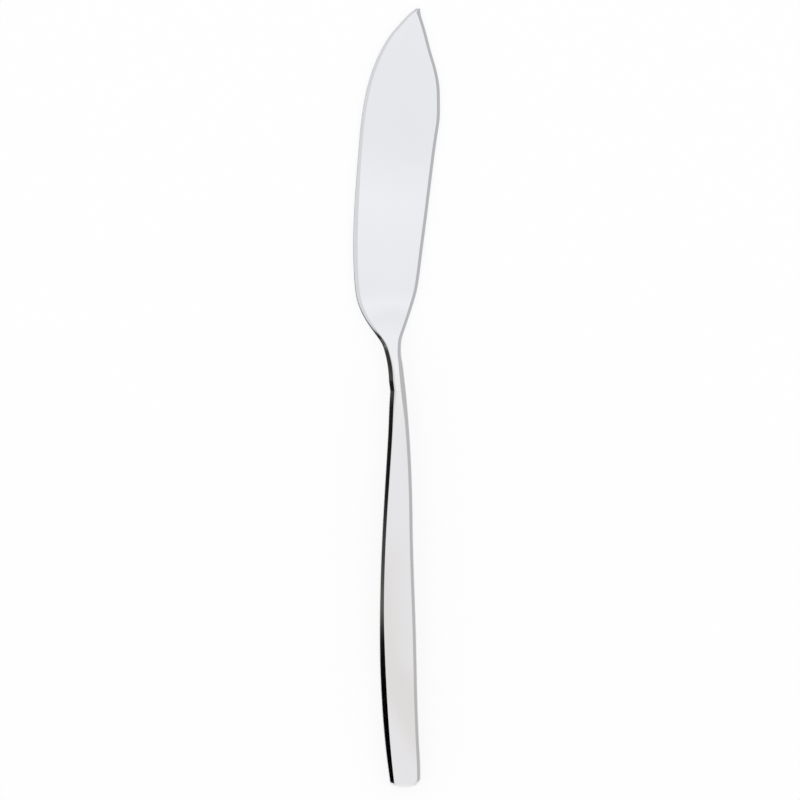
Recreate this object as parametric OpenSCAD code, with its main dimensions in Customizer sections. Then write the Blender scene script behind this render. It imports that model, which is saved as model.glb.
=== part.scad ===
// Fish knife with a hollow handle, lying flat on a table.
// The blade's tip points along +Y, the curved edge faces -X and +Z is up.
// Stations run along the knife from the handle's end, reaches run sideways from the
// handle's axis, and heights start at the table. All lengths are in millimetres.

/* [Blade] */
// Length of the blade, from the heel notch to the tip
blade_l = 89.25; // [70:0.05:110]
// Reach of the curved edge
belly_reach = 12; // [9:0.05:15]
// Reach of the corner on the spine
spine_reach = 11.3; // [9:0.05:14]
// Thickness of the blade at its heel
blade_heel_t = 2.1; // [1.6:0.1:3]
// Thickness of the blade near its tip
blade_tip_t = 1.3; // [1:0.1:2]
// Thickness left on the blunt edges
edge_t = 0.7; // [0.3:0.1:0.9]
// Rise of the blade's face between its bevels
blade_crown = 0.1; // [0.02:0.02:0.2]
// Width of the bevel along the curved edge
belly_bevel_w = 1.25; // [0.6:0.05:2]
// Width of the bevel along the spine
spine_bevel_w = 0.87; // [0.5:0.01:1.5]
// Rounding of the tip's upper and lower edge
tip_edge_r = 0.25; // [0.1:0.05:0.3]

/* [Neck] */
// Length of the neck, from the handle's mouth to the heel notch
neck_l = 13.3; // [10:0.1:20]
// Width of the neck
neck_w = 4; // [3.4:0.1:5]
// Thickness of the neck at the handle's mouth
neck_t = 4.5; // [4:0.1:6]
// Height of the neck's underside above the table
neck_lift = 2.7; // [0.5:0.1:5]
// Length of the brazed seam between neck and handle
seam_l = 0.2; // [0.1:0.05:0.5]

/* [Handle] */
// Length of the handle, from its end to its mouth
handle_l = 105.45; // [90:0.05:130]
// Width of the handle at its widest
handle_w = 10.1; // [8.5:0.1:13]
// Thickness of the handle at its thickest
handle_t = 6.5; // [5.5:0.1:9]
// Wall of the two half shells
wall_t = 0.6; // [0.4:0.05:0.8]
// Wall at the handle's end
end_wall_t = 1.6; // [1.4:0.1:3]
// Width of the side bevel under the curved edge
left_bevel_w = 1.7; // [1:0.05:2]
// Width of the side bevel under the spine
right_bevel_w = 0.9; // [0.6:0.05:1.4]
// Rise of the handle's faces between their bevels
handle_crown = 0.25; // [0.1:0.05:0.4]
// How far the end bulges at its middle
end_bow = 0.6; // [0.2:0.1:1]
// Corner radius of the end under the curved edge
end_left_r = 0.8; // [0.4:0.1:1.5]
// Corner radius of the end under the spine
end_right_r = 2; // [0.8:0.1:2.4]
// Rounding of the end's upper and lower edge
end_edge_r = 0.8; // [0.4:0.1:1.2]
// Depth to which the crowned underside is flattened where it rests
land_depth = 0.12; // [0.06:0.02:0.16]

/* [Tang] */
// Length of the tang inside the handle
tang_l = 46; // [25:1:60]
// Gap between the tang and the shells at the handle's mouth
tang_gap = 0.55; // [0.5:0.05:0.8]
// Width of the tang at its end
tang_end_w = 1.6; // [1:0.1:1.8]
// Radius of the notches that key the tang into the filling
notch_r = 0.45; // [0.2:0.05:0.5]
// Spacing of the notches
notch_pitch = 12; // [8:1:20]
// Number of notch pairs
notch_pairs = 3; // [1:1:3]

/* [Hidden] */

heel_s = handle_l + neck_l;
overall_l = heel_s + blade_l;
side_shift = (belly_reach - spine_reach) / 2;

// Outlines: pairs of a share of the part's length and a share of its reach or width
handle_left_shares = [
    [0, 0.212], [0.043, 0.272], [0.12, 0.363], [0.22, 0.445], [0.32, 0.489], [0.38, 0.495],
    [0.52, 0.473], [0.63, 0.431], [0.73, 0.374], [0.83, 0.311], [0.905, 0.264], [0.98, 0.234],
];
handle_right_shares = [
    [0, 0.605], [0.043, 0.603], [0.12, 0.563], [0.22, 0.524], [0.32, 0.502], [0.42, 0.476],
    [0.52, 0.438], [0.63, 0.405], [0.73, 0.39], [0.83, 0.352], [0.905, 0.305], [0.98, 0.24],
];
neck_left_shares = [
    [0.04, 0.545], [0.17, 0.62], [0.34, 0.647], [0.64, 0.778], [0.84, 0.941], [0.94, 1.035],
];
neck_right_shares = [[0.04, 0.54], [0.34, 0.425], [0.64, 0.3], [0.76, 0.222], [0.94, 0.225]];
belly_shares = [
    [0.008, 0.424], [0.036, 0.576], [0.066, 0.726], [0.096, 0.839], [0.126, 0.917], [0.156, 0.954],
    [0.216, 0.987], [0.29, 1], [0.37, 0.986], [0.485, 0.932], [0.575, 0.879], [0.665, 0.819],
    [0.724, 0.75], [0.77, 0.675], [0.815, 0.573], [0.874, 0.38], [0.919, 0.18], [0.95, -0.015],
    [0.973, -0.171], [0.988, -0.285], [0.995, -0.363], [1, -0.4],
];
spine_shares = [
    [0.008, 0.091], [0.036, 0.164], [0.066, 0.244], [0.096, 0.321], [0.156, 0.459], [0.216, 0.531],
    [0.276, 0.589], [0.365, 0.681], [0.485, 0.798], [0.575, 0.887], [0.635, 0.956], [0.665, 0.993],
    [0.695, 1], [0.724, 0.999], [0.77, 0.986], [0.815, 0.918], [0.874, 0.78], [0.919, 0.689],
    [0.95, 0.62], [0.973, 0.562], [0.988, 0.534], [0.995, 0.531], [1, 0.53],
];

// Thickness, and lift of the underside, along each part
handle_thick_shares = [[0, 0.86], [0.1, 0.93], [0.33, 1], [0.66, 0.94], [0.9, 0.78]];
neck_thick_shares = [[0.04, 1], [0.34, 0.9], [0.64, 0.76], [0.92, 0.62]];
blade_thick_shares = [[0.04, 1.04], [0.1, 1]];
handle_lift_shares = [[0, 0], [0.32, 0], [0.5, 0.12], [0.66, 0.4], [0.9, 0.86]];
neck_lift_shares = [[0.04, 1], [0.34, 0.96], [0.64, 0.74], [0.92, 0.44]];
blade_lift_shares = [[0.06, 0.13], [0.12, 0.015], [0.16, 0], [1, 0]];

// Bevel widths along each part
left_bevel_shares = [
    [0, 0.77], [0.12, 0.93], [0.22, 1], [0.31, 0.965], [0.43, 0.775], [0.56, 0.7],
    [0.7, 0.715], [0.85, 0.77], [1, 0.77],
];
neck_bevel_shares = [[0.5, 0.79]];
right_bevel_shares = [[0, 1], [1, 1]];
belly_bevel_shares = [
    [0.08, 0.94], [0.2, 0.96], [0.34, 1], [0.45, 0.9], [0.56, 0.8], [0.7, 0.82], [1, 0.8],
];
spine_bevel_shares = [[0.08, 1], [1, 1]];

// Drop of the handle's bevels, which is the steepest one, and lean of the upright side under a
// bevel, as shares of the bevel
bevel_drop_share = 0.74;
side_lean_share = 0.04;
// Thickness from which the blade's bevels are ground, as a share of the heel's
ground_from_share = 1.17;
// Places of the points between the creases, as shares of the face
face_shares = [0.25, 0.5, 0.75];
// Widest that a bevel gets, as a share of the section's width
bevel_max_share = 0.4;
// Sizes of the rings on the face of the handle's end, as shares of its outline
end_face_shares = [0.1, 0.35, 0.6, 0.82];

// Rings per stretch of the loft
end_rings = 9;
handle_rings = 26;
neck_rings = 9;
heel_rings = 10;
mid_rings = 13;
corner_rings = 10;
point_rings = 16;
// Where these stretches of the blade end
heel_share = 0.16;
mid_share = 0.6;
corner_share = 0.85;

// How far the tang's root runs into the neck
tang_root_l = neck_l / 4;
// Overrun of a cut
over = 1;

// Value at s of a smooth curve through the points p, which never overshoots them
function secant(p, i) = (p[i + 1][1] - p[i][1]) / (p[i + 1][0] - p[i][0]);
function slope(p, i) =
    i == 0 ? secant(p, 0)
    : i == len(p) - 1 ? secant(p, i - 1)
    : let (
        before = secant(p, i - 1),
        after = secant(p, i),
        mean = (before * (p[i + 1][0] - p[i][0]) + after * (p[i][0] - p[i - 1][0]))
            / (p[i + 1][0] - p[i - 1][0])
    )
    before * after <= 0 ? 0 : sign(mean) * min(abs(mean), 3 * abs(before), 3 * abs(after));
function curve(p, s) =
    let (
        i = max([for (k = [0 : len(p) - 2]) if (k == 0 || p[k][0] <= s) k]),
        h = p[i + 1][0] - p[i][0],
        t = (s - p[i][0]) / h
    )
    (1 + 2 * t) * (1 - t) ^ 2 * p[i][1] + t * (1 - t) ^ 2 * h * slope(p, i)
    + t ^ 2 * (3 - 2 * t) * p[i + 1][1] + t ^ 2 * (t - 1) * h * slope(p, i + 1);
function scaled(shares, start, length, size) =
    [for (share = shares) [start + share[0] * length, share[1] * size]];

left_line = concat(
    scaled(handle_left_shares, 0, handle_l, handle_w),
    scaled(neck_left_shares, handle_l, neck_l, neck_w),
    scaled(belly_shares, heel_s, blade_l, belly_reach)
);
right_line = concat(
    scaled(handle_right_shares, 0, handle_l, handle_w),
    scaled(neck_right_shares, handle_l, neck_l, neck_w),
    scaled(spine_shares, heel_s, blade_l, spine_reach)
);
thick_line = concat(
    scaled(handle_thick_shares, 0, handle_l, handle_t),
    scaled(neck_thick_shares, handle_l, neck_l, neck_t),
    scaled(blade_thick_shares, heel_s, blade_l, blade_heel_t),
    [[overall_l, blade_tip_t]]
);
lift_line = concat(
    scaled(handle_lift_shares, 0, handle_l, neck_lift),
    scaled(neck_lift_shares, handle_l, neck_l, neck_lift),
    scaled(blade_lift_shares, heel_s, blade_l, neck_lift)
);
left_bevel_line = concat(
    scaled(left_bevel_shares, 0, handle_l, left_bevel_w),
    scaled(neck_bevel_shares, handle_l, neck_l, left_bevel_w),
    scaled(belly_bevel_shares, heel_s, blade_l, belly_bevel_w)
);
right_bevel_line = concat(
    scaled(right_bevel_shares, 0, handle_l, right_bevel_w),
    scaled(spine_bevel_shares, heel_s, blade_l, spine_bevel_w)
);

// How far a corner of radius r is drawn in at a distance d from the end
function corner(d, r) = d < r ? r - sqrt(r ^ 2 - (r - d) ^ 2) : 0;
// 1 up to 0, falling smoothly to 0 at 1
function fall(t) = let (u = min(1, max(0, t))) 1 - u ^ 2 * (3 - 2 * u);
// 1 along the handle, falling to 0 over the neck
function handle_part(s) = fall((s - handle_l) / neck_l);
// How far the handle's bulging end stands back at x from its middle. Rings near the end are bent
// like it, which fades over a stretch as long as the handle is wide.
function bow(s, x, half_w) = end_bow * fall(s / handle_w) * (x / half_w) ^ 2;

// Height of the widest points, where the two half shells meet
function parting(s) = curve(lift_line, s) + curve(thick_line, s) / 2 - land_depth * handle_part(s);

// Points of one side of the section, measured from its widest point: up the upright side to its
// corner and over the flat bevel to the crease. The handle's bevels have one slope, which is the
// steepest, and the blade's leave an even edge.
function side_points(s, bevel, crease) =
    let (
        thick = curve(thick_line, s),
        ground = crease * (min(thick, ground_from_share * blade_heel_t) - edge_t) / thick,
        steepest = bevel_drop_share * bevel,
        drop = min(steepest, handle_part(s) * steepest + (1 - handle_part(s)) * ground)
    )
    [[0, 0], [side_lean_share * bevel, crease - drop], [bevel, crease]];

// Points [x, z] of one half of the section at s, from the left widest point to the right one.
// up is 1 for the upper half and -1 for the lower, and inset shrinks the section on all sides.
function half_section(s, up, inset) =
    let (
        left = curve(left_line, s) - corner(s, end_left_r) - inset,
        right = curve(right_line, s) - corner(s, end_right_r) - inset,
        half = curve(thick_line, s) / 2 - corner(s, end_edge_r) - corner(overall_l - s, tip_edge_r)
            - inset,
        on_handle = handle_part(s),
        crown = on_handle * handle_crown + (1 - on_handle) * (up > 0 ? blade_crown : 0),
        crease = half - crown,
        bevel_max = bevel_max_share * (left + right),
        left_bevel = min(curve(left_bevel_line, s), bevel_max),
        right_bevel = min(curve(right_bevel_line, s), bevel_max),
        face_w = left + right - left_bevel - right_bevel,
        z = parting(s)
    )
    concat(
        [for (p = side_points(s, left_bevel, crease)) [p[0] - left, z + up * p[1]]],
        [for (q = face_shares)
            [left_bevel - left + q * face_w, z + up * (crease + crown * (1 - (2 * q - 1) ^ 2))]],
        [for (p = reversed(side_points(s, right_bevel, crease))) [right - p[0], z + up * p[1]]]
    );

// The same points in space. A station is a pair: how far along the knife it lies, and 1 or, on
// the face of the handle's end, the size of its ring as a share of the face's outline.
function ring(station, up, inset) =
    let (
        s = station[0],
        z = parting(s),
        left = curve(left_line, s),
        right = curve(right_line, s),
        middle = (right - left) / 2
    )
    [for (p = half_section(s, up, inset))
        let (x = station[1] * (p[0] - middle))
        [
            side_shift + middle + x,
            s + bow(s, x, (left + right) / 2) - overall_l / 2,
            z + station[1] * (p[1] - z),
        ]];

function reversed(list) = [for (i = [len(list) - 1 : -1 : 0]) list[i]];
function inner(list) = [for (i = [1 : len(list) - 2]) list[i]];
function flat(lists) = [for (list = lists) each list];
function steps(from, to, n) = [for (i = [0 : n - 1]) [from + (to - from) * i / n, 1]];

// Triangles of a four-cornered face, of the sides between rings of n points each, of an end
// zipped shut between its two halves, and of faces seen from the other side
function quad(a, b, c, d) = [[a, b, c], [a, c, d]];
function sides(rings, n) =
    [for (i = [0 : rings - 2], j = [0 : n - 1])
        each quad(
            i * n + j, (i + 1) * n + j, (i + 1) * n + (j + 1) % n, i * n + (j + 1) % n
        )];
function zipped(loop) =
    let (n = len(loop))
    [for (i = [0 : ceil(n / 2) - 2])
        each (i + 1 < n - 2 - i
            ? quad(loop[i], loop[i + 1], loop[n - 2 - i], loop[n - 1 - i])
            : [[loop[i], loop[i + 1], loop[n - 1 - i]]])];
function turned(faces) = [for (face = faces) reversed(face)];

end_round_l = max(end_left_r, end_right_r, end_edge_r);
handle_stations = concat(
    [for (size = end_face_shares) [0, size]],
    [for (i = [0 : end_rings - 1]) [end_round_l * (i / end_rings) ^ 2, 1]],
    steps(end_round_l, handle_l, handle_rings),
    [[handle_l, 1]]
);
// Stations of the hollow, which starts behind the end wall
hollow_stations = [for (at = handle_stations) [at[0] + end_wall_t * (1 - at[0] / handle_l), at[1]]];
blade_stations = concat(
    steps(handle_l + seam_l, heel_s, neck_rings),
    steps(heel_s, heel_s + heel_share * blade_l, heel_rings),
    steps(heel_s + heel_share * blade_l, heel_s + mid_share * blade_l, mid_rings),
    steps(heel_s + mid_share * blade_l, heel_s + corner_share * blade_l, corner_rings),
    [for (i = [0 : point_rings])
        [overall_l - (1 - corner_share) * blade_l * (1 - i / point_rings) ^ 2, 1]]
);

// A closed solid through whole sections. Their points run over the top to the left and
// back below to the right, as the inside of the half shells does.
module loft(stations, inset) {
    rings = [for (at = stations)
        concat(reversed(ring(at, 1, inset)), inner(ring(at, -1, inset)))];
    n = len(rings[0]);
    last = (len(rings) - 1) * n;
    first_end = turned(zipped([for (j = [0 : n - 1]) j]));
    last_end = [for (face = turned(first_end)) [for (i = face) i + last]];
    polyhedron(flat(rings), concat(turned(sides(len(rings), n)), first_end, last_end));
}

// One half shell of the handle. Each ring runs over the outside and back over the inside,
// clockwise as seen from the handle's end.
module half_shell(up) {
    outside = [for (at = handle_stations) up > 0 ? ring(at, up, 0) : reversed(ring(at, up, 0))];
    inside = [for (at = hollow_stations)
        up > 0 ? reversed(ring(at, up, wall_t)) : ring(at, up, wall_t)];
    rings = [for (i = [0 : len(outside) - 1]) concat(outside[i], inside[i])];
    m = len(outside[0]);
    n = 2 * m;
    last = (len(rings) - 1) * n;
    outer_end = zipped([for (j = [0 : m - 1]) j]);
    inner_end = zipped([for (j = [m : n - 1]) j]);
    parting_end = quad(0, m - 1, m, n - 1);
    mouth = [for (j = [0 : m - 2])
        each quad(last + j, last + n - 1 - j, last + n - 2 - j, last + j + 1)];
    polyhedron(
        flat(rings), concat(sides(len(rings), n), outer_end, inner_end, parting_end, mouth)
    );
}

// The tang leaves the neck at the height of the handle's mouth and slopes down the hollow
module tang() {
    root_height = parting(handle_l);
    end_height = parting(handle_l - tang_l);
    mouth_reach = min(curve(left_line, handle_l), curve(right_line, handle_l));
    root_reach = mouth_reach - wall_t - tang_gap;
    end_reach = tang_end_w / 2;
    translate([side_shift, handle_l - overall_l / 2, root_height])
        rotate([atan2(root_height - end_height, tang_l), 0, 0])
            linear_extrude(height = neck_t - 2 * (wall_t + tang_gap), center = true)
                difference() {
                    polygon([
                        [-root_reach, tang_root_l], [root_reach, tang_root_l], [root_reach, 0],
                        [end_reach, -tang_l], [-end_reach, -tang_l], [-root_reach, 0],
                    ]);
                    for (i = [1 : notch_pairs], side = [-1, 1]) {
                        along = i * notch_pitch;
                        reach = root_reach + (end_reach - root_reach) * along / tang_l;
                        translate([side * reach, -along])
                            circle(r = notch_r, $fn = 32);
                    }
                }
}

module blade() {
    color("gainsboro")
        union() {
            loft(blade_stations, 0);
            tang();
        }
}

module neck_seam() {
    section = concat(
        half_section(handle_l, 1, 0),
        reversed(inner(half_section(handle_l, -1, 0)))
    );
    color("silver")
        difference() {
            translate([side_shift, handle_l + seam_l - overall_l / 2, 0])
                rotate([90, 0, 0])
                    linear_extrude(height = seam_l)
                        polygon(section);
            tang();
        }
}

module handle_upper_shell() {
    color("gainsboro")
        half_shell(1);
}

module handle_lower_shell() {
    color("lightgray")
        difference() {
            half_shell(-1);
            translate([-handle_w, -overall_l / 2 - over, -over])
                cube([2 * handle_w, handle_l + over, over]);
        }
}

module handle_filling() {
    color("tan")
        difference() {
            loft(hollow_stations, wall_t);
            tang();
        }
}

blade();
neck_seam();
handle_upper_shell();
handle_lower_shell();
handle_filling();
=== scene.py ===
"""Fish knife: the visible pieces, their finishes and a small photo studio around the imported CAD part."""
import math

import bmesh
import bpy
from bpy.props import FloatProperty, FloatVectorProperty, PointerProperty
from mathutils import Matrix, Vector


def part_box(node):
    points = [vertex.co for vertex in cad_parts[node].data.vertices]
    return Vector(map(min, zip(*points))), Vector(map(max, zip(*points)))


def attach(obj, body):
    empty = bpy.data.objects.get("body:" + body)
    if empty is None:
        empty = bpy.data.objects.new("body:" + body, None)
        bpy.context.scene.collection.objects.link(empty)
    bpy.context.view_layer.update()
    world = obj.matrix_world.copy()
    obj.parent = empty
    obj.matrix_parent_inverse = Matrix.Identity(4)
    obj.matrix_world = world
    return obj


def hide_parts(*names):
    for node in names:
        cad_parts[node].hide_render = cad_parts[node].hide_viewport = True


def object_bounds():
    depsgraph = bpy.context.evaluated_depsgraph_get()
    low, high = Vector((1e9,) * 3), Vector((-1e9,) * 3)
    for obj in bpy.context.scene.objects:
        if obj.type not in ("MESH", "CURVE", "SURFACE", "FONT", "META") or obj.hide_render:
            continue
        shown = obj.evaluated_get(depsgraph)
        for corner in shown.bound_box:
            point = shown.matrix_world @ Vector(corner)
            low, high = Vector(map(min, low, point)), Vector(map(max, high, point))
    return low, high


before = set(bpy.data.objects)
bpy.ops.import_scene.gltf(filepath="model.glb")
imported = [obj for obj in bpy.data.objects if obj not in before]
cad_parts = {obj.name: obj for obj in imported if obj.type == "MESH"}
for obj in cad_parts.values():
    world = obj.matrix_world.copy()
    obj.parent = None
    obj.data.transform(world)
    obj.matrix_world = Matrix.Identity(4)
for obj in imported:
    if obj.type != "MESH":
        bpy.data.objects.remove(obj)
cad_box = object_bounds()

bl_info = {
    "name": "Fish knife",
    "version": (1, 0, 0),
    "blender": (4, 5, 0),
    "location": "View3D > Sidebar > Fish knife",
    "description": "Models a table fish knife with a hollow handle and lights it for a photo",
    "category": "Add Mesh",
}

MM = 0.001
# Faces that meet at more than this angle keep a sharp edge between them
SHARP_ANGLE = math.radians(50)
# Turn of an edge at which its points are marked as fully worn
WORN_ANGLE = math.radians(10)
# Levels of subdivision that smooth a drawn piece
SMOOTH_LEVELS = 2

# Lengths, from the frame where it has them
knife_low, knife_high = cad_box
handle_low, handle_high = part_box("handle_upper_shell")
seam_low, seam_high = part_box("neck_seam")
HANDLE_LENGTH = handle_high.y - handle_low.y
SEAM_LENGTH = seam_high.y - seam_low.y
NECK_LENGTH = 13.3 * MM
BLADE_LENGTH = knife_high.y - knife_low.y - HANDLE_LENGTH - NECK_LENGTH

# Outlines: pairs of a share of the part's length and a share of its reach or width
HANDLE_LEFT = [
    (0, 0.212), (0.043, 0.272), (0.12, 0.363), (0.22, 0.445), (0.32, 0.489), (0.38, 0.495),
    (0.52, 0.473), (0.63, 0.431), (0.73, 0.374), (0.83, 0.311), (0.905, 0.264), (0.98, 0.234),
]
HANDLE_RIGHT = [
    (0, 0.605), (0.043, 0.603), (0.12, 0.563), (0.22, 0.524), (0.32, 0.502), (0.42, 0.476),
    (0.52, 0.438), (0.63, 0.405), (0.73, 0.39), (0.83, 0.352), (0.905, 0.305), (0.98, 0.24),
]
NECK_LEFT = [
    (0.04, 0.545), (0.17, 0.62), (0.34, 0.647), (0.64, 0.778), (0.84, 0.941), (0.94, 1.035),
]
NECK_RIGHT = [(0.04, 0.54), (0.34, 0.425), (0.64, 0.3), (0.76, 0.222), (0.94, 0.225)]
BELLY = [
    (0.008, 0.424), (0.036, 0.576), (0.066, 0.726), (0.096, 0.839), (0.126, 0.917), (0.156, 0.954),
    (0.216, 0.987), (0.29, 1), (0.37, 0.986), (0.485, 0.932), (0.575, 0.879), (0.665, 0.819),
    (0.724, 0.75), (0.77, 0.675), (0.815, 0.573), (0.874, 0.38), (0.919, 0.18), (0.95, -0.015),
    (0.973, -0.171), (0.988, -0.285), (0.995, -0.363), (1, -0.4),
]
SPINE = [
    (0.008, 0.091), (0.036, 0.164), (0.066, 0.244), (0.096, 0.321), (0.156, 0.459), (0.216, 0.531),
    (0.276, 0.589), (0.365, 0.681), (0.485, 0.798), (0.575, 0.887), (0.635, 0.956), (0.665, 0.993),
    (0.695, 1), (0.724, 0.999), (0.77, 0.986), (0.815, 0.918), (0.874, 0.78), (0.919, 0.689),
    (0.95, 0.62), (0.973, 0.562), (0.988, 0.534), (0.995, 0.531), (1, 0.53),
]
# Thickness, and lift of the underside, along each part
HANDLE_THICKNESS = [(0, 0.86), (0.1, 0.93), (0.33, 1), (0.66, 0.94), (0.9, 0.78)]
NECK_THICKNESS = [(0.04, 1), (0.34, 0.9), (0.64, 0.76), (0.92, 0.62)]
BLADE_THICKNESS = [(0.04, 1.04), (0.1, 1)]
HANDLE_LIFT = [(0, 0), (0.32, 0), (0.5, 0.12), (0.66, 0.4), (0.9, 0.86)]
NECK_LIFT = [(0.04, 1), (0.34, 0.96), (0.64, 0.74), (0.92, 0.44)]
BLADE_LIFT = [(0.06, 0.13), (0.12, 0.015), (0.16, 0), (1, 0)]
# Bevel widths along each part
LEFT_BEVEL = [
    (0, 0.77), (0.12, 0.93), (0.22, 1), (0.31, 0.965), (0.43, 0.775), (0.56, 0.7),
    (0.7, 0.715), (0.85, 0.77), (1, 0.77),
]
NECK_BEVEL = [(0.5, 0.79)]
RIGHT_BEVEL = [(0, 1), (1, 1)]
BELLY_BEVEL = [
    (0.08, 0.94), (0.2, 0.96), (0.34, 1), (0.45, 0.9), (0.56, 0.8), (0.7, 0.82), (1, 0.8),
]
SPINE_BEVEL = [(0.08, 1), (1, 1)]

# Drop of the handle's bevels, which is the steepest one, and lean of the upright side under a
# bevel, as shares of the bevel
BEVEL_DROP = 0.74
SIDE_LEAN = 0.04
# Thickness from which the blade's bevels are ground, as a share of the heel's
GROUND_FROM = 1.17
# Places of the points between the creases, as shares of the face
FACE_SHARES = (0.25, 0.5, 0.75)
# Widest that a bevel gets, as a share of the section's width
BEVEL_MOST = 0.4
# Most that the rounding of a crease takes of the face and of the bevel beside it, and that the
# rounding of an upright side's corner takes of that side
FACE_TAKEN, BEVEL_TAKEN, SIDE_TAKEN = 1 / 24, 1 / 12, 1 / 3
# The second point beside a crease is this many times as far from it as the first
SUPPORT_STEP = 4
# Sizes of the rings on the face of the handle's end, as shares of its outline
END_FACE_SHARES = (0.1, 0.35, 0.6, 0.82)
# Counts of rings along the handle's rounded end, the rest of the handle, and the neck
END_RINGS, HANDLE_RINGS, NECK_RINGS = 9, 28, 10
# Stretches of the blade: the share of it at which each one ends, and its count of rings. The
# tip's rings follow, closer and closer together.
BLADE_RINGS = [(0.16, 11), (0.6, 14), (0.85, 12)]
TIP_RINGS = 16
# Pairs of notches in the tang
NOTCHES = 3

# Noises of the finishes: the stretch of the coordinates, the scale and the detail
POLISHING_LINES = ((1.0, 0.02, 1.0), 5200.0, 3.0)
WIPING_MARKS = ((1.0, 0.45, 1.0), 130.0, 4.0)
STEEL_CLOUDS = ((1.0, 0.6, 1.0), 34.0, 2.0)
CEMENT_GRAINS = ((1.0, 1.0, 1.0), 2600.0, 4.0)
CEMENT_PATCHES = ((1.0, 1.0, 1.0), 180.0, 3.0)
PAPER_FIBRES = ((1.0, 1.0, 1.0), 900.0, 2.0)
PIT_SCALE = 900.0
# Values of a noise between which it comes to show fully
CLOUD_RANGE, MARK_RANGE, GRAIN_RANGE = (0.3, 0.75), (0.45, 0.8), (0.5, 0.7)
# Distances from its middle between which a pit runs out, as shares of its cell
PIT_RANGE = (0.12, 0.3)
# Share of the steel's unevenness that is clouds, and not polishing lines
CLOUD_SHARE = 0.7
# Brightness of dull and of rubbed steel, as shares of its colour
DULL, RUBBED = 0.975, 1.06
# What the lines, the marks and the rubbed creases add to the steel's roughness
LINE_ROUGHNESS, MARK_ROUGHNESS, RUBBED_ROUGHNESS = 0.03, 0.025, 0.06
# How much rougher the brazed seam is than the shells beside it
SEAM_DULLNESS = 0.04
# Power that keeps the wear close to the creases
WEAR_POWER = 6.0
# How far from the heel the neck's tone of steel is full, as a share of the neck
NECK_FADE = 0.45
# Brightness of damp, dry and grainy cement, and of the painted shade in its pits, as shares of its colour
DAMP, DRY, GRAINY, PIT_SHADE = 0.86, 1.08, 1.25, 0.55
# How much the grains, and the painted shade in the pits, cover
GRAIN_COVER, PIT_SHADE_COVER = 0.5, 0.6
# Roughness of smooth cement, and what the grains add
CEMENT_ROUGHNESS, GRAIN_ROUGHNESS = 0.82, 0.14
# Strength and height of the reliefs
STEEL_RELIEF, CEMENT_RELIEF = (0.12, 0.01 * MM), (0.6, 0.1 * MM)

WHITE = (1.0, 1.0, 1.0)
# Size of the floor, and how far it lies below the knife so that the two don't touch
FLOOR_SIZE, FLOOR_DROP = 8.0, 0.05 * MM
# Brightness of the floor's paper, from fibre to fibre
PAPER_TONES = (0.96, 0.97)
# How much of the floor the camera, and a mirror or glass, sees as even white
SEEN_WHITE, MIRRORED_WHITE = 0.8, 0.5
# Length of the panel, as a multiple of its height above the knife, and length of the cards
PANEL_LENGTH, CARD_LENGTH = 2.4, 2.4
# Light of the studio's sheets: a place in metres, a brightness and, where it isn't neutral, a
# warmth. The places run along the knife on the panel and the card's dark foot, else upwards.
PANEL_TONES = [
    (-0.155, 0.97), (-0.14, 0.9, 0.03), (-0.1, 0.89, 0.03), (-0.09, 0.955), (-0.04, 0.99),
    (0.02, 0.965), (0.08, 1.07), (0.1, 1.0), (0.15, 1.02), (0.3, 1.05),
]
DARK_FOOT_TONES = [
    (-0.1, 0), (-0.08, 0.14, 0.1), (-0.06, 0.06, 0.1), (-0.04, 0.06, 0.1), (-0.01, 0.01, 0.1),
    (0.03, 0.01, 0.1), (0.06, 0.07, 0.1), (0.1, 0.055, 0.1), (0.16, 0.01, 0.1),
]
PALE_CARD_TONES = [(0.2, 0.84), (0.78, 0.84), (0.84, 1.0)]
GREY_CARD_TONES = [(0, 0.58), (0.78, 0.58), (0.84, 1.0)]
# Heights between which the left card changes from dark to pale
DARK_TOP, PALE_FROM = 0.165, 0.215
# How far the panel's tones slant across it
PANEL_SLANT = 0.1
# Strength of the sheets' glow, which keeps the colours of the brightest tones under 1
MOST_SHINE = 1.1
# Place of the camera across and along the knife, and the height at which the view is as wide
# as the settings say
CAMERA_PLACE, VIEW_HEIGHT = (0.915 * MM, -0.734 * MM), 2.5 * MM
# Width of the camera's sensor in millimetres
SENSOR_WIDTH = 36.0


def secant(points, i):
    """Slope of the straight line from one point to the next."""
    (s0, v0), (s1, v1) = points[i:i + 2]
    return (v1 - v0) / (s1 - s0)


def slope(points, i):
    """Slope of the smooth curve at one of its points."""
    if i in (0, len(points) - 1):
        return secant(points, min(i, len(points) - 2))
    before, after = secant(points, i - 1), secant(points, i)
    if before * after <= 0:
        return 0.0
    gap_before, gap_after = points[i][0] - points[i - 1][0], points[i + 1][0] - points[i][0]
    mean = (before * gap_after + after * gap_before) / (gap_before + gap_after)
    return math.copysign(min(abs(mean), 3 * abs(before), 3 * abs(after)), mean)


def curve(points, s):
    """Value at s of a smooth curve through the points, which never overshoots them."""
    i = max([k for k in range(len(points) - 1) if points[k][0] <= s], default=0)
    h = points[i + 1][0] - points[i][0]
    t = (s - points[i][0]) / h
    return (
        (1 + 2 * t) * (1 - t) ** 2 * points[i][1]
        + t * (1 - t) ** 2 * h * slope(points, i)
        + t ** 2 * (3 - 2 * t) * points[i + 1][1]
        + t ** 2 * (t - 1) * h * slope(points, i + 1)
    )


def scaled(shares, start, length, size):
    """Pairs of shares as places and sizes in metres."""
    return [(start + along * length, share * size) for along, share in shares]


def corner(distance, radius):
    """How far a corner of that radius is drawn in at a distance from the end."""
    return radius - math.sqrt(radius ** 2 - (radius - distance) ** 2) if distance < radius else 0.0


def fall(t):
    """1 up to 0, falling smoothly to 0 at 1."""
    t = min(1.0, max(0.0, t))
    return 1 - t ** 2 * (3 - 2 * t)


def steps(start, stop, count):
    """Stations: how far along the knife, and the size of the ring there, which is whole."""
    return [(start + (stop - start) * i / count, 1.0) for i in range(count)]


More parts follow.
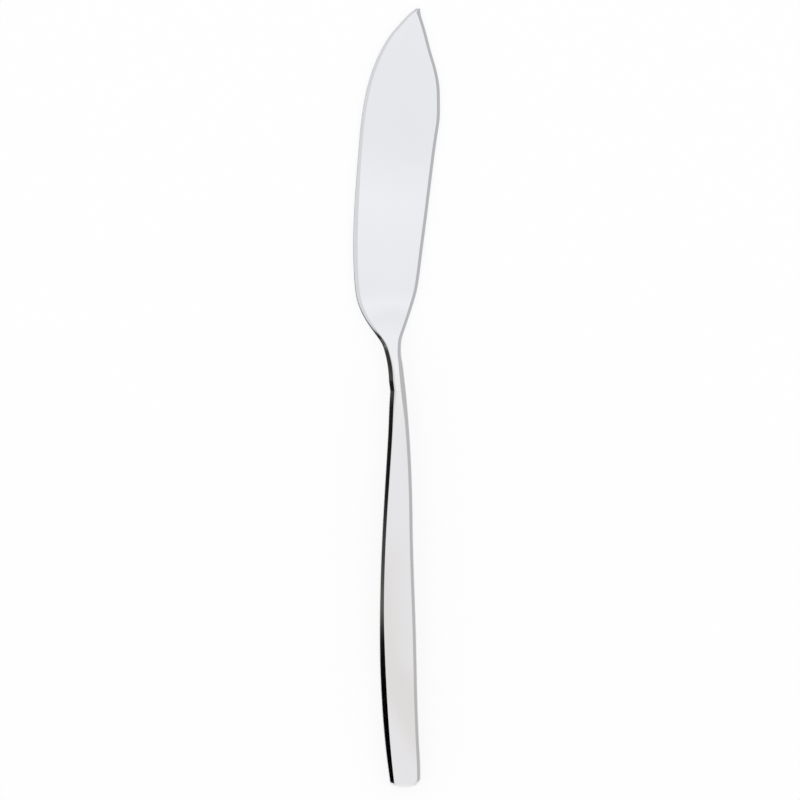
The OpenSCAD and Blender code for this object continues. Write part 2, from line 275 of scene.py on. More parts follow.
class KnifeLines:
    """The knife's outlines, thicknesses and bevels. Stations run from the handle's end."""

    def __init__(self, sizes):
        self.sizes = sizes
        handle, neck, blade = sizes.handle_length, sizes.neck_length, sizes.blade_length
        self.heel = handle + neck
        self.length = self.heel + blade
        # Place of the outlines' axis in the frame, whose origin is the middle of the knife's width
        self.shift = (sizes.belly_reach - sizes.spine_reach) / 2
        self.left_line = (
            scaled(HANDLE_LEFT, 0, handle, sizes.handle_width)
            + scaled(NECK_LEFT, handle, neck, sizes.neck_width)
            + scaled(BELLY, self.heel, blade, sizes.belly_reach)
        )
        self.right_line = (
            scaled(HANDLE_RIGHT, 0, handle, sizes.handle_width)
            + scaled(NECK_RIGHT, handle, neck, sizes.neck_width)
            + scaled(SPINE, self.heel, blade, sizes.spine_reach)
        )
        self.thick_line = (
            scaled(HANDLE_THICKNESS, 0, handle, sizes.handle_thickness)
            + scaled(NECK_THICKNESS, handle, neck, sizes.neck_thickness)
            + scaled(BLADE_THICKNESS, self.heel, blade, sizes.heel_thickness)
            + [(self.length, sizes.tip_thickness)]
        )
        self.lift_line = (
            scaled(HANDLE_LIFT, 0, handle, sizes.neck_lift)
            + scaled(NECK_LIFT, handle, neck, sizes.neck_lift)
            + scaled(BLADE_LIFT, self.heel, blade, sizes.neck_lift)
        )
        self.left_bevels = (
            scaled(LEFT_BEVEL, 0, handle, sizes.left_bevel)
            + scaled(NECK_BEVEL, handle, neck, sizes.left_bevel)
            + scaled(BELLY_BEVEL, self.heel, blade, sizes.belly_bevel)
        )
        self.right_bevels = (
            scaled(RIGHT_BEVEL, 0, handle, sizes.right_bevel)
            + scaled(SPINE_BEVEL, self.heel, blade, sizes.spine_bevel)
        )

    def handle_part(self, s):
        """1 along the handle, falling to 0 over the neck."""
        return fall((s - self.sizes.handle_length) / self.sizes.neck_length)

    def parting(self, s):
        """Height of the widest points, where the two half shells meet."""
        land = self.sizes.land_depth * self.handle_part(s)
        return curve(self.lift_line, s) + curve(self.thick_line, s) / 2 - land

    def bow(self, s, across):
        """How far the handle's bulging end stands back, at a share of its half width."""
        sizes = self.sizes
        return sizes.end_bow * fall(s / sizes.handle_width) * across ** 2

    def half_section(self, s, up):
        """Points of one half of the section at s, from the left widest point to the right one.

        Their heights are measured from the parting, and two points on each side of a crease
        keep it narrow under subdivision.
        """
        sizes = self.sizes
        left = curve(self.left_line, s) - corner(s, sizes.end_left_radius)
        right = curve(self.right_line, s) - corner(s, sizes.end_right_radius)
        thick = curve(self.thick_line, s)
        half = (
            thick / 2 - corner(s, sizes.end_edge_radius)
            - corner(self.length - s, sizes.tip_edge_radius)
        )
        on_handle = self.handle_part(s)
        blade_crown = sizes.blade_crown if up > 0 else 0
        crown = on_handle * sizes.handle_crown + (1 - on_handle) * blade_crown
        crease = half - crown
        most = BEVEL_MOST * (left + right)
        bevels = min(curve(self.left_bevels, s), most), min(curve(self.right_bevels, s), most)
        face = left + right - sum(bevels)
        ground = min(thick, GROUND_FROM * sizes.heel_thickness) - sizes.edge_thickness
        tight = min(sizes.crease_rounding, FACE_TAKEN * face, BEVEL_TAKEN * min(bevels))
        clear = SUPPORT_STEP * tight

        def side(bevel):
            """From the widest point over the upright side's corner, up to the crease."""
            steepest = BEVEL_DROP * bevel
            drop = min(steepest, on_handle * steepest + (1 - on_handle) * crease * ground / thick)
            corner_point = Vector((SIDE_LEAN * bevel, crease - drop))
            top = Vector((bevel, crease))
            upright, slant = corner_point.normalized(), (top - corner_point).normalized()
            near = min(sizes.side_rounding, SIDE_TAKEN * corner_point.length)
            return [
                Vector((0, 0)),
                corner_point - near * upright,
                corner_point + near * slant,
                top - clear * slant,
                top - tight * slant,
            ]

        points = [(p.x - left, up * p.y) for p in side(bevels[0])]
        across = [tight, clear, *(q * face for q in FACE_SHARES), face - clear, face - tight]
        points += [
            (bevels[0] - left + x, up * (crease + crown * (1 - (2 * x / face - 1) ** 2)))
            for x in across
        ]
        return points + [(right - p.x, up * p.y) for p in reversed(side(bevels[1]))]

    def half_ring(self, station, up):
        """The half section's points in space. Rings on the face of the handle's end are smaller."""
        s, size = station
        left, right = curve(self.left_line, s), curve(self.right_line, s)
        middle, half_width = (right - left) / 2, (left + right) / 2
        places = []
        for x, height in self.half_section(s, up):
            x = size * (x - middle)
            y = s + self.bow(s, x / half_width) - self.length / 2
            z = max(0.0, self.parting(s) + size * height)
            places.append(Vector((self.shift + middle + x, y, z)))
        return places

    def ring(self, station):
        """The whole section there: over the top to the right, and back below to the left."""
        return self.half_ring(station, 1) + self.half_ring(station, -1)[-2:0:-1]

    def handle_stations(self):
        """Stations from the middle of the end's face to the handle's mouth."""
        sizes = self.sizes
        rounded = max(sizes.end_left_radius, sizes.end_right_radius, sizes.end_edge_radius)
        return (
            [(0.0, size) for size in END_FACE_SHARES]
            + [(rounded * (i / END_RINGS) ** 2, 1.0) for i in range(END_RINGS)]
            + steps(rounded, sizes.handle_length, HANDLE_RINGS)
            + [(sizes.handle_length, 1.0)]
        )

    def blade_stations(self, mouth):
        """Stations from the seam to the tip."""
        stations, start = steps(mouth, self.heel, NECK_RINGS), self.heel
        for part, count in BLADE_RINGS:
            stop = self.heel + part * self.sizes.blade_length
            stations += steps(start, stop, count)
            start = stop
        return stations + [
            (self.length - (self.length - start) * (1 - i / TIP_RINGS) ** 2, 1.0)
            for i in range(TIP_RINGS + 1)
        ]


def edit(piece):
    """The mesh being edited, with its points in order."""
    mesh = bmesh.from_edit_mesh(piece.data)
    mesh.verts.ensure_lookup_table()
    return mesh


def select(piece, verts):
    """Selects these points, by number, and the edges and faces between them."""
    bpy.ops.mesh.select_all(action="DESELECT")
    mesh = edit(piece)
    for i in verts:
        mesh.verts[i].select_set(True)
    mesh.select_flush(True)
    bmesh.update_edit_mesh(piece.data)


def slide(piece, verts, places):
    """Moves each point of a row to its place."""
    for i, place in zip(verts, places):
        select(piece, [i])
        bpy.ops.transform.translate(value=place - edit(piece).verts[i].co)


def draw_out(name, rows, closed):
    """Draws a row of points out along the knife, row after row.

    Returns the piece, in edit mode, and the numbers of each row's points.
    """
    bpy.ops.object.select_all(action="DESELECT")
    count = len(rows[0])
    bpy.ops.mesh.primitive_circle_add(
        vertices=count, radius=(rows[0][0] - rows[0][count // 2]).length / 2, location=rows[0][0]
    )
    piece = bpy.context.object
    piece.name = piece.data.name = name
    bpy.ops.object.transform_apply(location=True, rotation=True, scale=True)
    bpy.ops.object.mode_set(mode="EDIT")
    numbers = [list(range(count))]
    if not closed:
        select(piece, [0, count - 1])
        bpy.ops.mesh.delete(type="EDGE")
    slide(piece, numbers[0], rows[0])
    for row in rows[1:]:
        last = numbers[-1]
        select(piece, last)
        before = [edit(piece).verts[i].co.copy() for i in last]
        step = Vector((0, row[0].y - before[0].y, 0))
        bpy.ops.mesh.extrude_region_move(TRANSFORM_OT_translate={"value": step})
        fresh = [v for v in edit(piece).verts if v.select]
        numbers.append([
            min(fresh, key=lambda v: (v.co - place - step).length).index for place in before
        ])
        slide(piece, numbers[-1], row)
    return piece, numbers


def cap(piece, verts):
    """Closes an open row of points with one face."""
    select(piece, verts)
    bpy.ops.mesh.edge_face_add()


def keep_sharp(piece, verts):
    """Keeps the edges between these points sharp under subdivision."""
    select(piece, verts)
    bpy.ops.transform.edge_crease(value=1.0)


def apply_modifier(piece, kind, **settings):
    """Adds a modifier with these settings and applies it."""
    modifier = piece.modifiers.new(kind.title(), kind)
    for key, value in settings.items():
        setattr(modifier, key, value)
    bpy.ops.object.modifier_apply(modifier=modifier.name)


def mark_wear(piece):
    """Marks how sharply the edges at each point turn, up to 1, because steel is rubbed there."""
    mesh = bmesh.new()
    mesh.from_mesh(piece.data)
    layer = mesh.verts.layers.float.new("crease_wear")
    for vert in mesh.verts:
        turns = [e.calc_face_angle(0.0) for e in vert.link_edges if e.is_manifold]
        vert[layer] = min(1.0, max(turns, default=0.0) / WORN_ANGLE)
    mesh.to_mesh(piece.data)
    mesh.free()


def face_outwards():
    """Turns all faces of the piece being edited the same way, outwards if it is closed."""
    bpy.ops.mesh.select_all(action="SELECT")
    bpy.ops.mesh.normals_make_consistent(inside=False)


def smooth(piece, **settings):
    """Leaves edit mode, marks the wear and subdivides the piece."""
    bpy.ops.object.mode_set(mode="OBJECT")
    mark_wear(piece)
    apply_modifier(
        piece, "SUBSURF", levels=SMOOTH_LEVELS, render_levels=SMOOTH_LEVELS, **settings
    )


def give_material(piece, material):
    """Gives a piece that one material."""
    for i in range(len(piece.material_slots)):
        piece.material_slots[i].material = material
    if not piece.material_slots:
        piece.data.materials.append(material)


def finish_piece(piece, material, cad_node):
    """Ends the modelling of a piece that stands for a node of the frame."""
    bpy.ops.object.shade_smooth_by_angle(angle=SHARP_ANGLE)
    give_material(piece, material)
    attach(piece, "root")
    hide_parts(cad_node)


class Wire:
    """A node's output. Python's operators on wires and numbers add Math nodes."""

    def __init__(self, tree, socket):
        self.tree, self.socket = tree, socket

    def math(self, operation, *values):
        return node(self.tree, "ShaderNodeMath", {"operation": operation}, dict(enumerate(values)))

    def __add__(self, other):
        return self.math("ADD", self, other)

    def __sub__(self, other):
        return self.math("SUBTRACT", self, other)

    def __rsub__(self, other):
        return self.math("SUBTRACT", other, self)

    def __mul__(self, other):
        return self.math("MULTIPLY", self, other)

    def __pow__(self, other):
        return self.math("POWER", self, other)

    __radd__, __rmul__ = __add__, __mul__


def node(tree, kind, settings=None, values=None, output=0):
    """Adds a node, sets it, then sets or links its sockets, and returns one output."""
    made = tree.nodes.new(kind)
    for key, value in (settings or {}).items():
        if key == "ramp":
            stops = made.color_ramp.elements
            while len(stops) < len(value):
                stops.new(1.0)
            for stop, (place, colour) in zip(stops, value):
                stop.position, stop.color = place, (*colour, 1.0)
        else:
            setattr(made, key, value)
    for key, value in (values or {}).items():
        if isinstance(value, Wire):
            tree.links.new(value.socket, made.inputs[key])
        else:
            made.inputs[key].default_value = value
    return Wire(tree, made.outputs[output])


def coordinate(where, axis):
    """One of the coordinates X, Y and Z."""
    return node(where.tree, "ShaderNodeSeparateXYZ", {}, {"Vector": where}, output=axis)


def smooth_step(value, low, high):
    """0 below low, 1 above high, and smooth in between."""
    return node(
        value.tree, "ShaderNodeMapRange", {"interpolation_type": "SMOOTHSTEP"},
        {"Value": value, "From Min": low, "From Max": high},
    )


def mixed(share, first, second):
    """A colour between two colours."""
    return node(
        share.tree, "ShaderNodeMix", {"data_type": "RGBA"},
        {0: share, 6: first, 7: second}, output=2,
    )


def noise(where, stretch, scale, detail):
    """Soft noise from 0 to 1, with the coordinates stretched first."""
    tree = where.tree
    place = node(tree, "ShaderNodeVectorMath", {"operation": "MULTIPLY"}, {0: where, 1: stretch})
    return node(
        tree, "ShaderNodeTexNoise", {}, {"Vector": place, "Scale": scale, "Detail": detail}
    )


def tone_colour(brightness, warmth=0.0):
    """The colour of a tone of that brightness, redder and less blue if it is warm."""
    return [brightness * c / MOST_SHINE for c in (1 + warmth / 3, 1, 1 - warmth)]


def toned(place, tones):
    """A colour that runs through the tones, each of them a place, a brightness and a warmth."""
    low, high = tones[0][0], tones[-1][0]
    share = node(
        place.tree, "ShaderNodeMapRange", {}, {"Value": place, "From Min": low, "From Max": high}
    )
    stops = [((at - low) / (high - low), tone_colour(*tone)) for at, *tone in tones]
    return node(place.tree, "ShaderNodeValToRGB", {"ramp": stops}, {"Fac": share})


def new_material(name):
    """An empty material, its output node and its Object coordinates."""
    material = bpy.data.materials.new(name)
    material.use_nodes = True
    tree = material.node_tree
    tree.nodes.clear()
    output = tree.nodes.new("ShaderNodeOutputMaterial")
    where = node(tree, "ShaderNodeTexCoord", output="Object")
    return material, tree, output, where


def shaded(colour, factor):
    """A colour for a socket, that many times as bright."""
    return (*(c * factor for c in colour), 1.0)


def raised(height, strength, distance):
    """Normals of a relief."""
    values = {"Strength": strength, "Distance": distance, "Height": height}
    return node(height.tree, "ShaderNodeBump", {}, values)


def surfaced(tree, output, values):
    """Ends a material in a shader with these values."""
    shader = node(tree, "ShaderNodeBsdfPrincipled", {}, values)
    tree.links.new(shader.socket, output.inputs["Surface"])


def polished_steel(name, colour, roughness, wear, near_end=None):
    """Steel polished lengthwise, with faint wiping marks and softened creases.

    The near end, if given, is a second colour and the two places along the knife between
    which it fades out.
    """
    material, tree, output, where = new_material(name)

    def steel(factor):
        if near_end is None:
            return shaded(colour, factor)
        end_colour, start, stop = near_end
        share = smooth_step(coordinate(where, "Y"), start, stop)
        return mixed(share, shaded(end_colour, factor), shaded(colour, factor))

    lines = noise(where, *POLISHING_LINES)
    marks = smooth_step(noise(where, *WIPING_MARKS), *MARK_RANGE)
    clouds = smooth_step(noise(where, *STEEL_CLOUDS), *CLOUD_RANGE)
    turns = node(tree, "ShaderNodeAttribute", {"attribute_name": "crease_wear"}, output="Fac")
    worn = turns ** WEAR_POWER
    tone = clouds * CLOUD_SHARE + lines * (1 - CLOUD_SHARE)
    surface = mixed(tone, steel(1.0), steel(DULL))
    surface = mixed(worn * wear, surface, steel(RUBBED))
    rough = (
        roughness + (lines - 0.5) * LINE_ROUGHNESS + marks * MARK_ROUGHNESS
        + worn * RUBBED_ROUGHNESS
    )
    relief = raised(lines, *STEEL_RELIEF)
    surfaced(
        tree, output,
        {"Base Color": surface, "Metallic": 1.0, "Roughness": rough, "Normal": relief},
    )
    return material


def set_cement(name, colour):
    """Pale cement that was poured into the handle: grains, pits darkened with painted shade, and uneven
    damp patches.
    """
    material, tree, output, where = new_material(name)
    grains = noise(where, *CEMENT_GRAINS)
    patches = noise(where, *CEMENT_PATCHES)
    pits = node(
        tree, "ShaderNodeTexVoronoi", {}, {"Vector": where, "Scale": PIT_SCALE}, output="Distance"
    )
    # The pits: how deep they sink in the relief, and where painted shade darkens the cement
    pit_depth_and_shade = 1 - smooth_step(pits, *PIT_RANGE)
    surface = mixed(patches, shaded(colour, DAMP), shaded(colour, DRY))
    grainy = smooth_step(grains, *GRAIN_RANGE) * GRAIN_COVER
    surface = mixed(grainy, surface, shaded(colour, GRAINY))
    # Painted shade: the cement is darkened in the pits, where shade would fall
    surface = mixed(pit_depth_and_shade * PIT_SHADE_COVER, surface, shaded(colour, PIT_SHADE))
    rough = CEMENT_ROUGHNESS + grains * GRAIN_ROUGHNESS
    relief = raised(grains - pit_depth_and_shade, *CEMENT_RELIEF)
    surfaced(tree, output, {"Base Color": surface, "Roughness": rough, "Normal": relief})
    return material


def length_setting(name, text, default):
    return FloatProperty(
        name=name, description=text, default=default, min=0.0, precision=5,
        subtype="DISTANCE", unit="LENGTH",
    )


def share_setting(name, text, default):
    return FloatProperty(
        name=name, description=text, default=default, min=0.0, max=1.0, subtype="FACTOR"
    )


def colour_setting(name, text, default):
    return FloatVectorProperty(
        name=name, description=text, default=default, size=3, min=0.0, max=1.0, subtype="COLOR"
    )


class KnifeSizes(bpy.types.PropertyGroup):
    """Sizes of the knife."""

    blade_length: length_setting("Blade length", "From the heel notch to the tip", BLADE_LENGTH)
    belly_reach: length_setting("Belly reach", "Reach of the curved edge", 12.0 * MM)
    spine_reach: length_setting("Spine reach", "Reach of the corner on the spine", 11.3 * MM)
    heel_thickness: length_setting("Heel thickness", "Thickness of the blade at its heel", 2.1 * MM)
    tip_thickness: length_setting("Tip thickness", "Thickness of the blade near its tip", 1.3 * MM)
    edge_thickness: length_setting("Edge thickness", "Thickness left on the blunt edges", 0.7 * MM)
    blade_crown: length_setting("Blade crown", "Rise of the blade's face between its bevels", 0.1 * MM)
    belly_bevel: length_setting("Belly bevel", "Width of the bevel along the curved edge", 1.25 * MM)
    spine_bevel: length_setting("Spine bevel", "Width of the bevel along the spine", 0.87 * MM)
    tip_edge_radius: length_setting("Tip rounding", "Rounding of the tip's edges", 0.25 * MM)
    neck_length: length_setting("Neck length", "From the handle's mouth to the heel notch", NECK_LENGTH)
    neck_width: length_setting("Neck width", "Width of the neck", 4.0 * MM)
    neck_thickness: length_setting("Neck thickness", "Thickness at the handle's mouth", 4.5 * MM)
    neck_lift: length_setting("Neck lift", "Height of the neck's underside above the table", 2.7 * MM)
    handle_length: length_setting("Handle length", "From the handle's end to its mouth", HANDLE_LENGTH)
    handle_width: length_setting("Handle width", "Width of the handle at its widest", 10.1 * MM)
    handle_thickness: length_setting("Handle thickness", "Thickness at its thickest", 6.5 * MM)
    wall: length_setting("Shell wall", "Wall of the two half shells", 0.6 * MM)
    left_bevel: length_setting("Left bevel", "Width of the handle's bevel under the belly", 1.7 * MM)
    right_bevel: length_setting("Right bevel", "Width of the handle's bevel under the spine", 0.9 * MM)
    handle_crown: length_setting("Handle crown", "Rise of the handle's faces", 0.25 * MM)
    end_bow: length_setting("End bow", "How far the handle's end bulges at its middle", 0.6 * MM)
    end_left_radius: length_setting("End corner, left", "Corner radius under the belly", 0.8 * MM)
    end_right_radius: length_setting("End corner, right", "Corner radius under the spine", 2.0 * MM)
    end_edge_radius: length_setting("End rounding", "Rounding of the end's edges", 0.8 * MM)
    land_depth: length_setting("Land depth", "Depth to which the underside is flattened", 0.12 * MM)
    side_rounding: length_setting("Side rounding", "Rounding of the upright sides' corners", 0.06 * MM)
    crease_rounding: length_setting("Crease rounding", "Rounding of the creases", 0.045 * MM)
    tang_length: length_setting("Tang length", "Length of the tang inside the handle", 46.0 * MM)
    tang_gap: length_setting("Tang gap", "Gap between tang and shells at the mouth", 0.55 * MM)
    tang_end: length_setting("Tang end", "Width of the tang at its end", 1.6 * MM)
    notch_depth: length_setting("Notch depth", "Depth of the notches in the tang", 0.4 * MM)
    notch_pitch: length_setting("Notch pitch", "Spacing of the notches", 12.0 * MM)


class KnifeFinish(bpy.types.PropertyGroup):
    """Colours and polish."""

    blade_colour: colour_setting("Blade", "Colour of the blade's steel", (0.8, 0.808, 0.838))
    handle_colour: colour_setting("Handle", "Colour of the handle's steel", (0.815, 0.804, 0.82))
    seam_colour: colour_setting("Seam", "Colour of the brazed seam", (0.79, 0.788, 0.8))
    filling_colour: colour_setting("Filling", "Colour of the cement", (0.62, 0.57, 0.49))
    blade_roughness: share_setting("Blade roughness", "0 is a mirror", 0.07)
    handle_roughness: share_setting("Handle roughness", "0 is a mirror", 0.08)
    wear: share_setting("Wear", "How much the creases are rubbed", 0.5)


class KnifeStudio(bpy.types.PropertyGroup):
    """Camera, panel and cards."""

    lens: FloatProperty(
        name="Lens", description="Focal length in millimetres", default=250.0, unit="CAMERA"
    )
    frame_width: length_setting("Frame width", "Width of the view at the knife", 213.73 * MM)
    panel_height: length_setting("Panel height", "Height of the soft panel over the knife", 0.5)
    panel_reach: length_setting("Panel reach", "From the knife's axis to the panel's long edges", 0.25)
    card_distance: length_setting("Card distance", "From the knife to the cards beside it", 0.42)


class PieceOperator:
    """What the operators that make pieces share."""

    bl_options = {"REGISTER", "UNDO"}

    def execute(self, context):
        settings = context.scene
        self.make(settings.knife_sizes, settings.knife_finish)
        return {"FINISHED"}


class FISHKNIFE_OT_blade(PieceOperator, bpy.types.Operator):
    """Forge the blade, neck and tang as one piece"""

    bl_idname = "fish_knife.blade"
    bl_label = "Blade, neck and tang"

    def make(self, sizes, finish):
        lines = KnifeLines(sizes)
        mouth = sizes.handle_length + SEAM_LENGTH
        rows = [lines.ring(station) for station in lines.blade_stations(mouth)]
        blade, numbers = draw_out("blade_with_neck", rows, closed=True)
        cap(blade, numbers[-1])
        cap(blade, numbers[0])
        keep_sharp(blade, numbers[0])
        self.draw_tang(blade, lines, numbers[0])
        face_outwards()
        smooth(blade)
        # The neck is polished with the handle, and so takes its tone
        heel = lines.heel - lines.length / 2
        neck = (finish.handle_colour, heel - NECK_FADE * sizes.neck_length, heel)
        steel = polished_steel(
            "polished_blade_steel", finish.blade_colour, finish.blade_roughness, finish.wear, neck
        )
        finish_piece(blade, steel, "blade")

    def draw_tang(self, blade, lines, ring):
        """Insets the neck's end and draws the tang out of it, down the hollow.

        The tang's stops are shares of its length, each with its width as a share of the root's.
        The first one takes it through the seam.
        """
        sizes = lines.sizes
        inset = sizes.wall + sizes.tang_gap
        select(blade, ring)
        bpy.ops.mesh.inset(thickness=inset, depth=0)
        root = lines.parting(sizes.handle_length)
        climb = lines.parting(sizes.handle_length - sizes.tang_length) - root
        y_mouth = sizes.handle_length - lines.length / 2
        outlines = (lines.left_line, lines.right_line)
        reach = min(curve(outline, sizes.handle_length) for outline in outlines) - inset
        narrowing = sizes.tang_end / 2 / reach
        notch = sizes.notch_depth / sizes.tang_length
        stops = [(0, 1.0)]
        for i in range(1, NOTCHES + 1):
            along = i * sizes.notch_pitch / sizes.tang_length
            plain = 1 + (narrowing - 1) * along
            cut = plain - sizes.notch_depth / reach
            stops += [(along - notch, plain), (along, cut), (along + notch, plain)]
        stops.append((1.0, narrowing))
        now, width = 0, 1.0
        for along, wide in stops:
            step = (along - now) * sizes.tang_length if along else SEAM_LENGTH
            move = (0, -step, climb * (along - now))
            bpy.ops.mesh.extrude_region_move(TRANSFORM_OT_translate={"value": move})
            centre = (lines.shift, y_mouth - along * sizes.tang_length, root + climb * along)
            bpy.ops.transform.resize(value=(wide / width, 1, 1), center_override=centre)
            now, width = along, wide


class FISHKNIFE_OT_neck_seam(PieceOperator, bpy.types.Operator):
    """Dress the brazed seam between the neck and the handle's mouth"""

    bl_idname = "fish_knife.neck_seam"
    bl_label = "Neck seam"

    def make(self, sizes, finish):
        lines = KnifeLines(sizes)
        places = [sizes.handle_length + SEAM_LENGTH * half for half in (0, 0.5, 1)]
        rows = [lines.ring((place, 1.0)) for place in places]
        seam, numbers = draw_out("brazed_neck_seam", rows, closed=True)
        for end in (numbers[0], numbers[-1]):
            cap(seam, end)
            keep_sharp(seam, end)
            select(seam, end)
            bpy.ops.mesh.inset(thickness=sizes.wall, depth=0)
        self.open_hole(seam)
        face_outwards()
        smooth(seam)
        steel = polished_steel(
            "dressed_brazed_seam", finish.seam_colour, finish.handle_roughness + SEAM_DULLNESS, 0.0
        )
        finish_piece(seam, steel, "neck_seam")

    def open_hole(self, seam):
        """Joins the two inset faces into the hole that the tang passes through."""
        bpy.ops.mesh.select_all(action="DESELECT")
        mesh = edit(seam)
        ends = sorted(mesh.faces, key=lambda f: -len(f.verts))[:2]
        for face in ends:
            face.select_set(True)
        bmesh.update_edit_mesh(seam.data)
        bpy.ops.mesh.bridge_edge_loops()


class FISHKNIFE_OT_handle_shells(PieceOperator, bpy.types.Operator):
    """Press the two half shells of the hollow handle"""

    bl_idname = "fish_knife.handle_shells"
    bl_label = "Handle shells"

    def make(self, sizes, finish):
        steel = polished_steel(
            "polished_handle_steel", finish.handle_colour, finish.handle_roughness, finish.wear
        )
        lines = KnifeLines(sizes)
        for name, up in (("handle_upper_shell", 1), ("handle_lower_shell", -1)):
            rows = [lines.half_ring(station, up) for station in lines.handle_stations()]
            shell, numbers = draw_out("pressed_" + name, rows, closed=False)
            cap(shell, numbers[0])
            face_outwards()
            self.turn_outwards(shell, up)
            smooth(shell, boundary_smooth="PRESERVE_CORNERS")
            apply_modifier(shell, "SOLIDIFY", thickness=sizes.wall, offset=-1.0)
            finish_piece(shell, steel, name)

    def turn_outwards(self, shell, up):
        """Turns the open sheet's faces over where they look into the handle."""
        mesh = edit(shell)
        if sum(f.normal.z * f.calc_area() for f in mesh.faces) * up < 0:
            bpy.ops.mesh.flip_normals()


class FISHKNIFE_OT_filling(PieceOperator, bpy.types.Operator):
    """Finish the set cement that holds the tang, which is the frame's own solid"""

    bl_idname = "fish_knife.filling"
    bl_label = "Handle filling"

    def make(self, sizes, finish):
        give_material(
            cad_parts["handle_filling"], set_cement("set_cement", finish.filling_colour)
        )


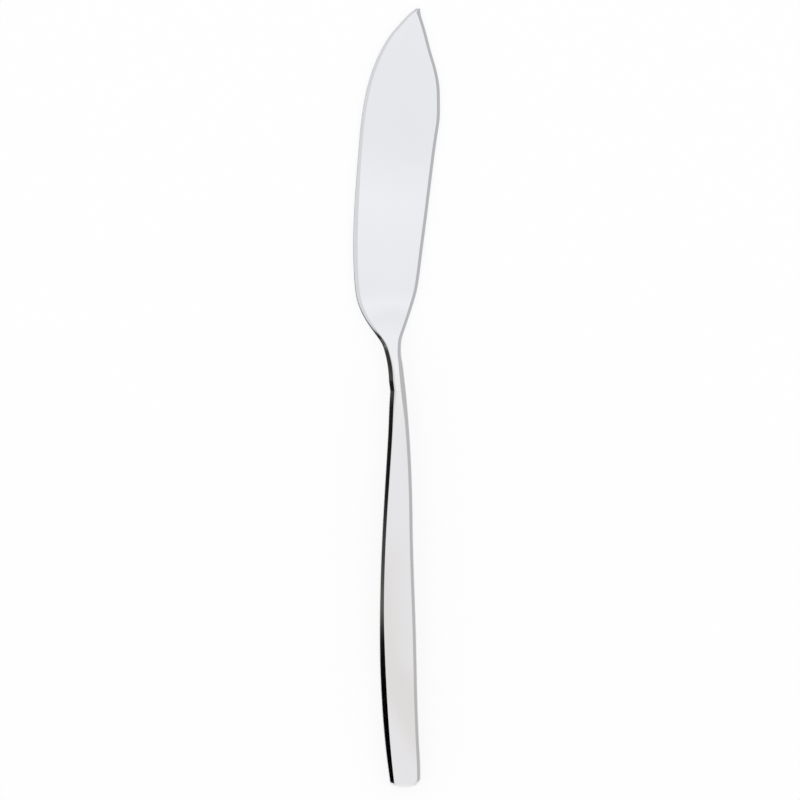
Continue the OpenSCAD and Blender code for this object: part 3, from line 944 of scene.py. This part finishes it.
class FISHKNIFE_OT_studio(bpy.types.Operator):
    """Set up the floor, the soft panel, the side cards, the world and the camera"""

    bl_idname = "fish_knife.studio"
    bl_label = "Photo studio"
    bl_options = {"REGISTER", "UNDO"}

    def execute(self, context):
        studio = context.scene.knife_studio
        self.lay_floor()
        self.hang_panel(studio)
        self.stand_cards(studio)
        self.fill_world(context.scene)
        self.place_camera(context.scene, studio)
        context.scene.view_settings.view_transform = "Standard"
        return {"FINISHED"}

    def lay_floor(self):
        """A floor of white paper, which keeps a little of the knife's shadow."""
        bpy.ops.object.select_all(action="DESELECT")
        bpy.ops.mesh.primitive_plane_add(size=FLOOR_SIZE, location=(0, 0, -FLOOR_DROP))
        floor = bpy.context.object
        floor.name = "studio_floor"
        bpy.ops.object.transform_apply(location=True, rotation=True, scale=True)
        material, tree, output, where = new_material("white_floor")
        paper = mixed(noise(where, *PAPER_FIBRES), *(shaded(WHITE, tone) for tone in PAPER_TONES))
        matt = node(tree, "ShaderNodeBsdfDiffuse", {}, {"Color": paper})
        glow = node(
            tree, "ShaderNodeEmission", {}, {"Color": shaded(WHITE, 1.0), "Strength": 1.0}
        )
        seen = self.seen_directly(tree)
        mix = node(tree, "ShaderNodeMixShader", {}, {0: seen, 1: matt, 2: glow})
        tree.links.new(mix.socket, output.inputs["Surface"])
        give_material(floor, material)

    def seen_directly(self, tree):
        """How much a ray sees the paper as even white, and not lit, with the knife's shadow."""
        camera, metal, glass = [
            node(tree, "ShaderNodeLightPath", output=name)
            for name in ("Is Camera Ray", "Is Glossy Ray", "Is Transmission Ray")
        ]
        return camera * SEEN_WHITE + (metal + glass) * MIRRORED_WHITE

    def add_sheet(self, name, size, location, rotation, shine):
        """A glowing sheet of the studio, which the camera doesn't see and which casts no shadow."""
        bpy.ops.object.select_all(action="DESELECT")
        bpy.ops.mesh.primitive_plane_add(size=1.0, location=location, rotation=rotation)
        sheet = bpy.context.object
        sheet.name = name
        sheet.scale = (*size, 1)
        bpy.ops.object.transform_apply(location=True, rotation=True, scale=True)
        material, tree, output, where = new_material(name + "_surface")
        glow = node(tree, "ShaderNodeEmission", {}, {"Color": shine(where), "Strength": MOST_SHINE})
        tree.links.new(glow.socket, output.inputs["Surface"])
        give_material(sheet, material)
        sheet.visible_camera = sheet.visible_shadow = False
        return sheet

    def hang_panel(self, studio):
        """A large soft panel over the knife, a little uneven along it, as a real one is."""

        def shine(where):
            return toned(coordinate(where, "Y") + coordinate(where, "X") * PANEL_SLANT, PANEL_TONES)

        size = (2 * studio.panel_reach, PANEL_LENGTH * studio.panel_height)
        self.add_sheet("soft_panel", size, (0, 0, studio.panel_height), (0, 0, 0), shine)

    def stand_cards(self, studio):
        """A card on the left, dark at its foot, and a grey one on the right, up to the panel."""
        height = studio.card_distance * studio.panel_height / studio.panel_reach

        def grey(where):
            return toned(coordinate(where, "Z"), GREY_CARD_TONES)

        def dark_footed(where):
            z = coordinate(where, "Z")
            foot = toned(coordinate(where, "Y"), DARK_FOOT_TONES)
            return mixed(smooth_step(z, DARK_TOP, PALE_FROM), foot, toned(z, PALE_CARD_TONES))

        for name, side, shine in (("dark_footed_card", -1, dark_footed), ("grey_card", 1, grey)):
            place = (side * studio.card_distance, 0, height / 2)
            card = self.add_sheet(name, (height, CARD_LENGTH), place, (0, math.pi / 2, 0), shine)
            card.visible_diffuse = False

    def fill_world(self, scene):
        """An even white surround."""
        world = bpy.data.worlds.new("white_surround")
        world.use_nodes = True
        tree = world.node_tree
        tree.nodes.clear()
        glow = node(
            tree, "ShaderNodeBackground", {}, {"Color": shaded(WHITE, 1.0), "Strength": 1.0}
        )
        output = tree.nodes.new("ShaderNodeOutputWorld")
        tree.links.new(glow.socket, output.inputs["Surface"])
        scene.world = world

    def place_camera(self, scene, studio):
        """A long lens straight above the knife."""
        data = bpy.data.cameras.new("camera")
        data.lens, data.sensor_width = studio.lens, SENSOR_WIDTH
        camera = bpy.data.objects.new("camera", data)
        scene.collection.objects.link(camera)
        distance = studio.frame_width * studio.lens / SENSOR_WIDTH
        camera.location = (*CAMERA_PLACE, distance + VIEW_HEIGHT)
        scene.camera = camera


class FISHKNIFE_PT_parts(bpy.types.Panel):
    """Lists the knife's parts in the sidebar"""

    bl_label = "Fish knife"
    bl_idname = "FISHKNIFE_PT_parts"
    bl_space_type = "VIEW_3D"
    bl_region_type = "UI"
    bl_category = "Fish knife"

    def draw(self, context):
        layout = self.layout
        for maker in MAKERS:
            layout.operator(maker.bl_idname)
        for name in SETTINGS:
            group = getattr(context.scene, name)
            box = layout.box()
            for key in group.bl_rna.properties.keys():
                if key not in ("name", "rna_type"):
                    box.prop(group, key)


MAKERS = (
    FISHKNIFE_OT_blade,
    FISHKNIFE_OT_neck_seam,
    FISHKNIFE_OT_handle_shells,
    FISHKNIFE_OT_filling,
    FISHKNIFE_OT_studio,
)
SETTINGS = {
    "knife_sizes": KnifeSizes, "knife_finish": KnifeFinish, "knife_studio": KnifeStudio,
}
CLASSES = (*SETTINGS.values(), *MAKERS, FISHKNIFE_PT_parts)


def register():
    """Registers the classes and gives the scene their settings."""
    for kind in CLASSES:
        bpy.utils.register_class(kind)
    for name, kind in SETTINGS.items():
        setattr(bpy.types.Scene, name, PointerProperty(type=kind))


def unregister():
    """Takes all of that back."""
    for name in SETTINGS:
        delattr(bpy.types.Scene, name)
    for kind in reversed(CLASSES):
        bpy.utils.unregister_class(kind)


def main():
    """Makes the pieces and the studio."""
    register()
    bpy.ops.fish_knife.blade()
    bpy.ops.fish_knife.neck_seam()
    bpy.ops.fish_knife.handle_shells()
    bpy.ops.fish_knife.filling()
    bpy.ops.fish_knife.studio()


if __name__ == "__main__":
    main()
